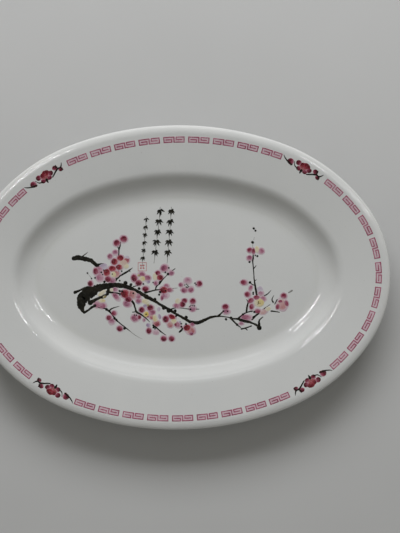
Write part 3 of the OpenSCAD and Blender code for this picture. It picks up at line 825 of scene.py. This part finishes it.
TWIGS = [
    [(-74.2, 13.3, 1.3), (-71.5, 14, 1.55), (-67.9, 13.3, 1.4), (-62.4, 12.1, 1.3), (-59.4, 9.9, 1.1),
     (-57.6, 8.2, 1.2), (-54.9, 6.5, 0.65), (-52.4, 4.5, 0.65), (-50.3, 2.4, 0.3)],
    [(-57.2, 8.6, 0.9), (-54.6, 9.5, 0.4), (-52.4, 9.7, 0.1)],
    [(-67.9, 15, 0.4), (-65.9, 16.5, 0.28), (-64.1, 18, 0.1)],
    [(-73.4, -11.1, 0.95), (-69.9, -9.6, 0.6), (-65.4, -7.6, 0.65), (-61.9, -7.2, 0.7)],
    [(-66.5, -25.6, 0.7), (-63.4, -23.7, 0.6), (-61.4, -22, 0.7), (-59.2, -20.9, 0.65), (-58.8, -18, 0.6)],
    [(-59.2, -21.1, 0.5), (-55.4, -22.1, 0.35), (-51.8, -22.7, 0.5), (-48.8, -24.6, 0.6),
     (-46.3, -27.5, 0.38), (-44.4, -30, 0.55), (-41.3, -33.1, 0.36), (-37.3, -36.2, 0.36),
     (-33.8, -38.9, 0.22)], [(-48.8, -24.6, 0.6), (-46.3, -22.6, 0.38), (-41.3, -21.1, 0.12)],
    [(-44.4, -2.2, 0.95), (-41.3, 0.4, 0.5), (-38.3, 2.3, 0.55), (-34.8, 4.4, 0.5), (-31.8, 6.7, 0.15)],
    [(-41.2, 0.6, 0.35), (-42.1, 3, 0.2), (-42, 4.6, 0.15)], [(-34.8, 4.5, 0.35), (-33.5, 3.8, 0.2)],
    [(-50.5, -10.6, 0.65), (-45.3, -11.4, 0.55), (-39.2, -12.3, 0.4)],
    [(-41.8, 14.6, 0.4), (-41.7, 20, 0.36), (-42.6, 21.8, 0.2)],
    [(-41.7, 19.6, 0.4), (-41, 21.9, 0.5), (-40.5, 25.2, 0.3)], [(-31.2, -6.9, 0.35), (-27.2, -6, 0.15)],
    [(-22.4, -10.9, 0.95), (-19.5, -10.5, 0.5), (-15.4, -9.5, 0.42), (-10.9, -8.9, 0.3), (-6, -8.5, 0.2),
     (0.6, -7.9, 0.1)],
    [(-15.4, -9.4, 0.35), (-14.4, -6.4, 0.5), (-12.5, -4.3, 0.8), (-9.3, -1.1, 0.3), (-6, 2.2, 0.26),
     (-1.1, 6.1, 0.25)],
    [(-33, -16.7, 0.85), (-31, -19.1, 0.65), (-29.8, -23, 0.5), (-28.8, -25.4, 0.7), (-25.2, -27.4, 0.5),
     (-22, -29.9, 0.35), (-19.5, -32.4, 0.15)], [(-31.8, -25.4, 0.3), (-29.2, -25.1, 0.3)],
    [(-16.6, -35.1, 0.8), (-14.2, -36.9, 0.45), (-11.7, -39.2, 0.4), (-8, -41.8, 0.2)],
    [(-4.8, -23.6, 0.5), (-0.2, -22.1, 0.26), (3.9, -22.5, 0.2), (9.6, -23.2, 0.3), (16.2, -23.2, 0.22)],
    [(4.4, -37.1, 0.45), (3.4, -38.5, 0.6), (2.1, -39.7, 0.5)],
    [(30.4, -27.8, 0.6), (32.2, -26.2, 0.45), (33.9, -24.6, 0.35)],
    [(39.3, -29.6, 0.9), (41.1, -31.8, 0.55), (43.7, -34.4, 0.5), (46.4, -36.5, 0.22)],
    [(46.8, -37.5, 0.5), (49.9, -36.8, 0.4), (54, -35.4, 0.4)], [(49.6, -36.9, 0.35), (51, -38.3, 0.28)],
    [(44.2, -30.2, 0.6), (48.1, -27, 0.45), (50.9, -25.5, 0.35), (54.6, -24.6, 0.42)],
    [(50.4, -25.4, 0.5), (50.9, -21.5, 0.55), (51.7, -18, 0.4), (50.4, -16.2, 0.12)],
    [(54.4, -30.1, 0.8), (58.1, -27.2, 0.55), (61.2, -24.7, 0.5), (63.8, -22.5, 0.3), (67.6, -19.8, 0.12)],
    [(59.7, -35.6, 0.8), (59.7, -31.5, 0.5), (62.3, -28.9, 0.25)],
    [(68.4, -24.6, 0.45), (71.3, -24.9, 0.36), (74.2, -25.4, 0.3)],
    [(63.5, -13.5, 0.35), (65.8, -12.2, 0.3), (68.2, -9.6, 0.12)],
    [(69.7, -18.2, 0.5), (68.9, -16.2, 0.35), (70.3, -13.2, 0.12)], [(70.9, -19.5, 0.3), (72.6, -16.5, 0.4)],
    [(57.9, -12.9, 0.65), (57.1, -8.6, 0.6), (56.6, -5.4, 0.5), (56, -0.9, 0.36), (55.5, 6.3, 0.32),
     (55, 11.5, 0.45), (55.3, 14, 0.5), (55.4, 17, 0.36)], [(55.5, 5.8, 0.35), (57.4, 8.2, 0.22)],
    [(56.3, -3, 0.3), (58, -1.6, 0.1)], [(56.6, -6, 0.35), (54.4, -5.2, 0.3), (53, -3.6, 0.28)]
]
# Strokes of thinned ink, for the faint tips
FAINT_TWIGS = [
    [(-34, -38.8, 0.22), (-30.6, -41.5, 0.2), (-27.4, -43.5, 0.16), (-24.6, -44.7, 0.1)],
    [(-64.3, 2.8, 0.12), (-62.6, 0.6, 0.12), (-61.4, -1, 0.2)], [(54.9, 21.4, 0.12), (55.1, 24.8, 0.14)],
    [(55.7, 26.8, 0.12), (56.1, 28.8, 0.14)], [(81, -11.2, 0.5), (83.4, -9.8, 0.6)]
]
# Bark dots and stamens: x, y, radius
KNOTS = [
    (-59.1, -20.7, 0.95), (-50.6, -23.4, 0.85), (-44.8, -29.9, 0.85), (-43.5, -30.9, 0.6),
    (-37.6, -37.1, 0.85), (-49.9, -12.2, 1), (-52.1, -3.5, 0.8), (-36.9, -4.2, 1.2), (-33, -5.6, 1),
    (-27.1, -8.3, 0.85), (-24, -5, 0.5), (-54.4, 3.4, 0.5), (-53.4, 1.9, 0.4), (-58.9, -0.6, 0.55),
    (-64.4, 2.9, 0.5), (-61.4, -1.1, 0.4), (-39.6, 4.2, 0.45), (-41.1, -2.6, 0.5), (-41.1, -10.1, 0.65),
    (-39.3, -10.3, 0.75), (-41, -12.8, 0.45), (-15.6, -16.1, 1), (-9.3, -22.4, 1.15), (-5.8, -24.3, 1.5),
    (-1.1, -24.6, 1.05), (-0.4, -28.2, 0.6), (6.9, -29.1, 1), (-8, -9.9, 0.5), (-11.8, -10.9, 0.8),
    (-12.6, -12.7, 0.6), (3.3, -33.7, 0.5), (6.8, -34, 0.6), (3.4, -35.8, 0.5), (-8.1, 3.4, 0.5),
    (-6.2, 2.2, 0.8), (-5.6, 6.6, 0.5), (5.9, -5.8, 0.3), (7.1, -5.2, 0.3), (8, -6, 0.3), (7, -7.2, 0.35),
    (8.6, -6.9, 0.35), (7.8, -7.6, 0.3), (13.3, -4.4, 0.45), (14.1, -5.5, 0.4), (10.4, -20.4, 0.3),
    (11.7, -20.6, 0.3), (12.9, -20.8, 0.35), (9.6, -21.3, 0.35), (10, -23.3, 0.6), (-30.4, -27.4, 0.4),
    (-29, -27.5, 0.4), (-16.6, -36.4, 0.6), (-15.6, -37.4, 0.4), (35.7, -30.5, 0.8), (33.9, -24.6, 0.6),
    (36.8, -24.9, 0.35), (43.7, -34.4, 0.75), (59.7, -36.6, 1.6), (54.9, 25.1, 0.9), (55.7, 35.1, 0.7),
    (57, 33.5, 0.6), (58.4, 15.1, 0.6), (56.9, 15.6, 0.4), (52.7, 10.9, 0.6), (53, -3.9, 0.8),
    (55.3, -11.2, 0.5), (55.3, -12.3, 0.45), (56.2, -25.2, 0.7), (48, -26.9, 0.75), (59, -18.8, 0.4),
    (-46.4, 2.1, 0.35), (-31.3, -11.7, 0.5), (-22, -26.9, 0.45), (-17, -3.9, 0.4), (59.2, -17.7, 0.18),
    (60.2, -18.9, 0.18), (58.7, -19.9, 0.18)
]
# Dabs, given as in SPRAY_DABS
PINK_DABS = [
    (-55.9, 4.9, 2.9, 2.6, PINK, 160, 0.55), (-54.9, -0.1, 2.7, 2.5, PINK, 200, 0.5),
    (-27.2, -17, 1.9, 1.7, PINK, 230, 0.75), (-20.8, -27.8, 1.5, 1.3, PINK, 200, 0.8),
    (-46.3, -2.1, 2.2, 1.9, PALE, 250, 0.8), (-44.1, 1.9, 2.7, 2.4, PEACH, 60, 0.5),
    (-47.8, 14.7, 1.7, 1.7, PINK, 140, 0.85), (-44.3, 17.5, 1.7, 1.6, PALE, 100, 0.9),
    (-36.5, 11.6, 2.2, 1.8, PEACH, 60, 0.8, 30), (-56.9, -19.6, 2.5, 2.1, PINK, 230, 0.55),
    (-53.9, -20.4, 2.5, 2, PINK, 290, 0.65), (-43.6, -14.1, 3, 1.5, PINK, 150, 0.8, -50),
    (-44.3, -9.3, 1.7, 1.5, PALE, 120, 0.8), (-31.9, -12.6, 3.1, 2.8, PEACH, 180, 0.65),
    (-35.3, -19, 2.4, 2.1, PALE, 200, 0.95), (-28.1, -13.7, 2, 1.7, PINK, 330, 0.55, -30),
    (-25.2, 1.4, 2.3, 1.8, PINK, 80, 0.75), (-21.5, -0.8, 2.3, 1.8, PINK, 40, 0.75, -10),
    (-14.6, -4.4, 1.5, 1.5, PALE, 200, 0.9), (-4.3, 3, 1.8, 1.6, PALE, 330, 0.9),
    (-8.5, 6.3, 2.4, 2.2, PINK, 160, 0.95), (-7.4, -6.9, 1.8, 1.6, PINK, 90, 0.6),
    (-8.2, -13, 2.2, 1.9, PALE, 200, 0.6), (-10.3, -14.5, 1, 1.8, PINK, 270, 0.95, -12),
    (3.4, -5.6, 1.5, 1.4, PINK, 190, 0.85), (5.8, -9.3, 2.1, 1.7, PINK, 230, 0.85),
    (10, -8.9, 2, 1.8, PINK, 300, 0.75), (7.9, -2.8, 2.2, 1.9, PALE, 90, 0.6),
    (0.8, -20.7, 2.5, 1.6, PINK, 180, 0.55), (11.6, -22.7, 2.1, 1.9, PALE, 270, 0.75),
    (-18.2, -25.8, 2.2, 2.1, PINK, 30, 0.75), (-17.8, -28.7, 1.7, 1.6, PEACH, 270, 0.65),
    (-14.5, -33.4, 2.1, 1.9, PEACH, 300, 1), (-29.7, -29.4, 2.5, 2.3, PINK, 210, 0.75),
    (-23.6, -31, 0.9, 1.1, PALE, 0, 0.8), (-4.4, -34.2, 1.9, 2, PEACH, 240, 0.6),
    (1, -34.5, 2.2, 1.7, PINK, 170, 0.65, -30), (10.1, -38.5, 2.7, 2.4, PEACH, 330, 0.6, -20),
    (-14.9, -39.7, 1.8, 1.5, PALE, 270, 0.35), (36, -25.1, 2.2, 1.6, PALE, 110, 0.95),
    (50.8, -29.2, 3.6, 1.7, PINK, 170, 0.7, -6), (46.8, -33.7, 1.5, 1, PALE, 90, 0.8),
    (62.3, -15.8, 2, 1.6, PINK, 60, 0.5, -20), (60.7, -12.2, 1.8, 1.7, PALE, 90, 0.6),
    (62.7, -25.1, 2.4, 1.6, PEACH, 300, 0.3, 20), (76.2, -19.6, 3.1, 3.5, PEACH, 300, 0.4),
    (60.9, 18.7, 1.9, 1.8, PINK, 20, 0.65), (52.7, 13.6, 1.7, 1.6, PINK, 100, 0.85),
    (53.5, -8.1, 1.2, 1.8, PINK, 100, 0.7, -20), (-46.9, -32.1, 1.9, 1.8, PALE, 90, 0.75),
    (11.2, -34.4, 1.5, 1.4, PINK, 60, 0.8), (10.6, -40.6, 1.4, 1.2, PINK, 290, 0.95)
]
LILAC_DABS = [
    (-52.9, 7.6, 2.7, 2.1, LILAC, 120, 0.6, 10), (-20.5, -3.4, 1.3, 1.2, LILAC, 0, 0.9),
    (-27.3, -17.9, 1.6, 1.6, LILAC, 200, 0.8), (-22.8, -21.2, 1.4, 1.3, LILAC, 90, 0.9),
    (-20.3, -34.8, 1.5, 1.4, LILAC, 180, 0.95), (-12.3, -28.6, 1, 1.8, LILAC, 0, 0.85, 15),
    (-12.9, -23.2, 1.1, 1.4, LILAC, 0, 0.35), (2.3, -32.7, 0.9, 1, LILAC, 0, 0.8),
    (60.3, -9.2, 2, 2.2, LILAC, 120, 0.3), (-35.8, 14.2, 1.5, 1.1, LILAC, 0, 0.25),
    (63.5, -25.6, 1.8, 0.9, LILAC, 0, 0.25, 20)
]
CRIMSON_DABS = [
    (-58.2, 4.2, 1.7, 2.2, RUBY, 180, 0.75), (-50.3, 3, 2.1, 2.4, RED, 120, 0.9, 10),
    (-46.4, 5.9, 2.4, 1.9, RED, 100, 0.85), (-49.3, -1.3, 2.1, 1.9, RUBY, 230, 0.8),
    (-44.6, 11, 2.1, 2.1, RED, 160, 1), (-40.8, 13.5, 2.2, 1.9, RED, 60, 0.95),
    (-41.3, 7.2, 2.2, 1.8, RED, 170, 0.9), (-36.9, -12.1, 2.8, 2.7, RED, 190, 0.95),
    (-34.6, -15.9, 2.3, 2, RUBY, 220, 0.85), (-30.4, -0.7, 2, 2.4, RUBY, 200, 0.95, 15),
    (-27.3, -4, 2.1, 1.9, RUBY, 250, 0.95), (-13.4, 2.8, 1.8, 1.6, RUBY, 150, 0.75, 20),
    (-12.3, -0.4, 2.1, 1.7, RED, 20, 1), (-4.9, -9.3, 2.1, 1.4, RUBY, 180, 0.5),
    (-8.8, -9.4, 2.6, 2.2, RED, 190, 0.95), (5.7, -17.2, 1.8, 1.5, RUBY, 90, 0.8),
    (3.9, -19.6, 1.9, 1.8, RUBY, 0, 1), (11.7, -17.7, 1.9, 1.9, RUBY, 90, 0.7),
    (-24.8, -23.7, 1.9, 1.8, RUBY, 170, 0.95), (-18.9, -22.5, 2.1, 1.9, RUBY, 110, 0.95),
    (-7.4, -30.4, 2, 2.1, RUBY, 190, 0.95), (-3.2, -29, 2.3, 1.5, RED, 100, 1, -25),
    (-0.4, -34.3, 1, 1.2, RUBY, 180, 0.6), (7.9, -36.8, 2.3, 2, RED, 150, 1),
    (-27.1, -29, 1.2, 1.4, RUBY, 0, 0.8), (3.4, -36, 0.7, 0.7, RUBY, 0, 0.8),
    (57.9, -14.9, 2, 1.5, RUBY, 120, 0.6), (53.8, -17, 2.1, 1.5, RUBY, 150, 0.6, 30),
    (54.3, -21.3, 1.5, 2, RUBY, 200, 0.6, -10), (58.6, -24.5, 2, 1.5, RUBY, 270, 0.55),
    (77.4, -13.8, 1.9, 1.8, RUBY, 90, 0.68), (74.9, -17.6, 1.4, 1, RUBY, 90, 0.6, 15),
    (79.2, -18.8, 1.3, 2.1, RUBY, 340, 0.5, 20), (73.2, -21.3, 1.3, 1.8, RUBY, 200, 0.55, -10),
    (53, 19.3, 1.8, 1.6, RUBY, 130, 0.65), (55.5, 18.4, 1.1, 2, RUBY, 90, 0.7)
]
YELLOW_DABS = [
    (-38.3, 9.8, 3.1, 3, PEACH, 60, 0.2), (-36.6, 8, 2.2, 2, STRAW, 0, 0.45),
    (-45.6, 1.9, 2.2, 2.2, STRAW, 0, 0.7), (-53.9, -11.6, 3.6, 1.5, STRAW, 200, 0.35, 36),
    (-53.9, -17.1, 2.6, 1.5, STRAW, 20, 0.75), (-51.9, -14.3, 1.5, 1, OLIVE, 0, 0.7, 20),
    (-46.9, -9.3, 1.4, 1.3, STRAW, 0, 0.35), (-24.8, -1.2, 2.3, 2.2, STRAW, 0, 0.75),
    (-27.4, 1.2, 1.2, 0.9, OLIVE, 0, 0.45, 30), (-15.4, 0.4, 1.8, 2.9, STRAW, 180, 0.4),
    (1, -17.4, 2.1, 2.1, STRAW, 180, 0.35), (-22.1, -17.9, 3.1, 2, STRAW, 180, 0.5, -20),
    (-20.7, -20.3, 1, 0.8, OLIVE, 0, 0.5), (-22, -26.8, 2.1, 2.1, GOLD, 0, 0.6),
    (-15.6, -29.9, 1.9, 2.9, STRAW, 200, 0.8, 20), (-2, -31.9, 2, 2.2, STRAW, 90, 0.7),
    (59.7, -18.4, 3.7, 3.4, STRAW, 0, 0.95), (59.4, -18.6, 1.7, 1.6, GOLD, 0, 0.55),
    (65.9, -23, 2.2, 1.6, STRAW, 0, 0.35, 25), (58.1, 19.9, 1.7, 2.5, STRAW, 90, 0.6)
]
BUD_DABS = [
    (-62.1, -4.6, 1.6, 1.8, RUBY, 200, 0.95), (-43.1, 24.4, 2.1, 2, RUBY, 120, 0.85),
    (-38.3, 27.3, 2.3, 2.1, RUBY, 80, 0.85), (-31.1, -0.8, 1, 1.2, RUBY, 180, 0.9),
    (-22.4, -8.4, 2.1, 1.8, RUBY, 250, 0.95), (16.2, -4.9, 1.9, 1.9, RUBY, 20, 0.75),
    (-45.1, -26.1, 1.7, 1.6, RUBY, 200, 0.65), (-48.6, -29.5, 1.8, 1.7, RUBY, 180, 0.7),
    (-40.8, -37.1, 1.9, 1.8, RUBY, 220, 0.8), (-19.9, -38.6, 1.7, 2, RUBY, 230, 0.85),
    (-9.2, -44.3, 1.9, 1.8, RUBY, 250, 0.9), (-3.5, -44.3, 1.8, 1.8, RUBY, 250, 0.75),
    (35.3, -21.8, 2, 1.9, RUBY, 100, 0.75), (48.8, -4, 2.2, 1.7, RUBY, 160, 0.6, -10),
    (51.4, -12.5, 1.9, 1.8, RUBY, 180, 0.65)
]


BRANCH_LOAD = 1.2
TRUNK_ROUGH = 0.16
KNOT_GROW = 0.17
KNOT_LOAD = 0.9
KNOT_ROUNDNESS = (0.85, 1.1)
# The wash round each petal, against the petal's own size and load
HALO_SPREAD = 1.55
HALO_LOAD = 0.5
# Heights above the glaze, and what each later dab or wash adds
FAINT_HEIGHT = 0.03
LOW_HEIGHT = 0.05
TWIG_HEIGHT = 0.04
TRUNK_HEIGHT = 0.055
KNOT_HEIGHT = 0.19
HALO_HEIGHT = 0.03
HALO_LAYER = 0.0001
DAB_LAYER = 0.0006


def branch_dabs(node, dabs, colour, height, spread=PETAL_SPREAD, washed=()):
    """One piece of the branch's blossoms, with a thin pink wash as a fringe round those in washed."""
    film = Film()
    lay_dabs(film, in_well, washed, HALO_HEIGHT, HALO_LAYER, HALO_SPREAD, HALO_LOAD, wash=PALE)
    lay_dabs(film, in_well, dabs, height, DAB_LAYER, spread, BRANCH_LOAD)
    print_piece(node, film, colour)


def branch():
    """The branch's layers: its wood, then its blossoms from the lowest up."""
    twigs, trunk, knots = Film(), Film(), Film()
    for path in TWIGS:
        brush(twigs, in_well, heavier(path, TWIG_WEIGHT), INK, TWIG_HEIGHT)
    for path in FAINT_TWIGS:
        brush(twigs, in_well, path, FAINT, FAINT_HEIGHT)
    for path in TRUNK:
        brush(trunk, in_well, path, INK, TRUNK_HEIGHT, rough=TRUNK_ROUGH)
    for x, y, r in KNOTS:
        r += KNOT_GROW
        dab(knots, in_well, x, y, r, r * draw(*KNOT_ROUNDNESS), draw(0, 180), INK, 0,
            KNOT_HEIGHT, KNOT_LOAD, 0)
    for name, film in {"twigs": twigs, "trunk": trunk, "knots": knots}.items():
        print_piece("branch_" + name, film, "ink")
    branch_dabs("petals_lilac", LILAC_DABS, "lilac", LOW_HEIGHT)
    washed = PINK_DABS + CRIMSON_DABS + BUD_DABS
    branch_dabs("petals_pink", PINK_DABS, "pink", 0.065, washed=washed)
    branch_dabs("flower_hearts", YELLOW_DABS, "yellow", 0.1, spread=1.0)
    branch_dabs("petals_crimson", CRIMSON_DABS, "crimson", 0.125)
    branch_dabs("flower_buds", BUD_DABS, "crimson", 0.12)


# ---- Hanging leaf columns and the square emblem ----
# x and y of the top, step down, lean per step, marks, leaf length
LEAF_COLUMNS = {
    "right": (-3.8, 47.0, 7.4, -0.6, 5, 3.6),
    "middle": (-11.8, 47.0, 7.4, -0.9, 5, 3.6),
    "left": (-21.8, 41.4, 5.6, -0.5, 6, 2.3)
}
# Directions and lengths of the leaves in a sprig, against the column's leaf length
SPRIG = ((190, 0.85), (222, 1.15), (258, 1.3), (290, 1.15), (330, 1.0), (20, 0.6))
LEAF_SWING = 12
LEAF_LENGTHS = (0.85, 1.05)
LEAF_STEP = 0.4
# A leaf's half widths: its root, its belly as a share of leaf length, and its tip
LEAF_WIDTHS = (0.1, 0.19, 0.05)
BELLY_AT = 0.45
LEAF_DROOP = 0.3
SPRIG_UP = 0.4
STEM_W = 0.2
EMBLEM_C = (-24.8, 7.4)
EMBLEM_W = 6.4
EMBLEM_LINE = 0.45
# The emblem's four petals: how far out each lies, and its radii against that
PETAL_OUT = EMBLEM_W / 5
PETAL_R = (0.62, 0.55)
PETAL_LOAD = 0.9
PETAL_FADE = 0.3


def leaf_column(name, x, y, step, lean, marks, leaf):
    """A faint hanging stem with a sprig of inked leaves at each step."""
    film = Film()
    root_w, belly_w, tip_w = LEAF_WIDTHS
    stem = [(x + lean * t, y - step * t + leaf * (t == 0), STEM_W) for t in range(marks + 1)]
    brush(film, in_well, stem, FAINT, FAINT_HEIGHT)
    for i in range(marks):
        px, py = x + lean * i, y - step * i + leaf * SPRIG_UP
        for turn, length in SPRIG:
            c, s = facing(turn + draw(-LEAF_SWING, LEAF_SWING))
            l = leaf * length * draw(*LEAF_LENGTHS)
            belly = (px + l * BELLY_AT * c, py + l * BELLY_AT * s, leaf * belly_w)
            tip = (px + l * c, py + l * s - LEAF_DROOP, tip_w)
            brush(film, in_well, [(px, py, root_w), belly, tip], INK, LOW_HEIGHT, LEAF_STEP)
    print_piece("leaf_column_" + name, film, "ink")


def square_emblem():
    """A square outline round a plain four-petalled flower."""
    film = Film()
    x, y = EMBLEM_C
    half = (EMBLEM_W - EMBLEM_LINE) / 2
    outline = [(x - half, y - half), (x + half, y - half), (x + half, y + half), (x - half, y + half)]
    ruled(film, in_well, outline, EMBLEM_LINE / 2, VERMILION, LOW_HEIGHT, closed=True)
    petal = PETAL_OUT
    for turn in (45, 135, 225, 315):
        c, s = facing(turn)
        dab(film, in_well, x + petal * c, y + petal * s, petal * PETAL_R[0], petal * PETAL_R[1],
            turn, VERMILION, turn, LOW_HEIGHT, PETAL_LOAD, PETAL_FADE)
    print_piece("square_emblem", film, "vermilion")


# ---- Camera, light and floor ----
# The camera's place and the width it sees on the rim
VIEW_FROM = (16.4, 7.6, 1200)
VIEW_W = 285.6
SENSOR = 36
ROLL = radians(-0.68)
LIGHT_TARGET = Vector((0, 0, 0.01))
# Lights, in metres: azimuth, elevation, distance, size, watts, and whether it lights surfaces or
# only shows in reflections
SOFT_LIGHTS = {
    "key": (90, 34, 1.46, (1.5, 0.6), 19.0, "surfaces"),
    "key_sheen": (90, 40, 1.46, (0.75, 0.3), 0.5, "reflections"),
    "front_fill": (-90, 15, 1.3, (1.6, 0.4), 1.4, "surfaces")
}
# For each strip: azimuth, elevation, length and watts
STRIPS = ((39, 67, 0.28, 0.75), (32, 52, 0.18, 0.3), (136, 66, 0.32, 1.3), (129, 51, 0.16, 0.4))
STRIP_WIDTH = 0.01
STRIP_DISTANCE = 1.3
CLEAR = (0.968, 0.978, 1.0)
FILL = (1.0, 0.99, 0.92)
FILL_STRENGTH = 0.182
FLOOR_HALF = 3.0


def add_camera():
    """A long lens straight down, so that the platter is seen square on with its left end cut off."""
    data = bpy.data.cameras.new("camera")
    data.sensor_fit = "HORIZONTAL"
    data.sensor_width = SENSOR
    data.lens = SENSOR * (VIEW_FROM[2] - rim_z(BORDER_D)) / VIEW_W
    data.dof.use_dof = False
    camera = shown("camera", data)
    camera.location = [v * MM for v in VIEW_FROM]
    camera.rotation_euler = (0, 0, ROLL)
    scene.camera = camera


def add_light(name, azimuth, elevation, distance, size, watts, lights):
    """An area light aimed at the platter from a direction in degrees from +X and up."""
    c, s = facing(azimuth)
    out, up = facing(elevation)
    place = (distance * c * out, distance * s * out, distance * up)
    data = bpy.data.lights.new(name, "AREA")
    data.shape = "RECTANGLE"
    data.size, data.size_y = size
    data.energy = watts
    data.color = CLEAR
    light = shown(name, data)
    light.location = place
    light.rotation_euler = (LIGHT_TARGET - Vector(place)).to_track_quat("-Z", "Y").to_euler()
    light.visible_glossy = lights == "reflections"
    light.visible_diffuse = lights == "surfaces"


def add_lighting():
    """A soft light behind the platter, thin strips that the glaze mirrors, and an even fill."""
    for name, light in SOFT_LIGHTS.items():
        add_light(name, *light)
    for azimuth, elevation, length, watts in STRIPS:
        add_light("strip_" + str(azimuth) + "_" + str(elevation), azimuth, elevation, STRIP_DISTANCE,
                  (length, STRIP_WIDTH), watts, "reflections")
    world = bpy.data.worlds.new("studio")
    world.use_nodes = True
    background = world.node_tree.nodes["Background"]
    background.inputs["Color"].default_value = (*FILL, 1.0)
    background.inputs["Strength"].default_value = FILL_STRENGTH
    scene.world = world
    scene.view_settings.view_transform = "Standard"


def add_floor():
    """A pale, faintly clouded table top."""
    look = Surface("pale_floor")
    cloud = look.patches(0, 0.3, scale=0.01, detail=2)
    half = FLOOR_HALF
    mesh = bpy.data.meshes.new("floor")
    corners = [(-half, -half, 0), (half, -half, 0), (half, half, 0), (-half, half, 0)]
    mesh.from_pydata(corners, [], [[0, 1, 2, 3]])
    mesh.materials.append(look.finished(
        Base_Color=look.tinted(FLOOR, cloud, FLOOR_CLOUD), Roughness=0.85))
    shown("floor", mesh)


add_camera()
add_floor()
add_lighting()

glazed_shell()
biscuit = biscuit_material()
for material_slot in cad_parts["porcelain_body"].material_slots:
    material_slot.material = biscuit
for side in range(len(SIDES)):
    fret_run(side)
for corner in range(len(CORNERS)):
    rim_spray(corner)
branch()
for name, column in LEAF_COLUMNS.items():
    leaf_column(name, *column)
square_emblem()
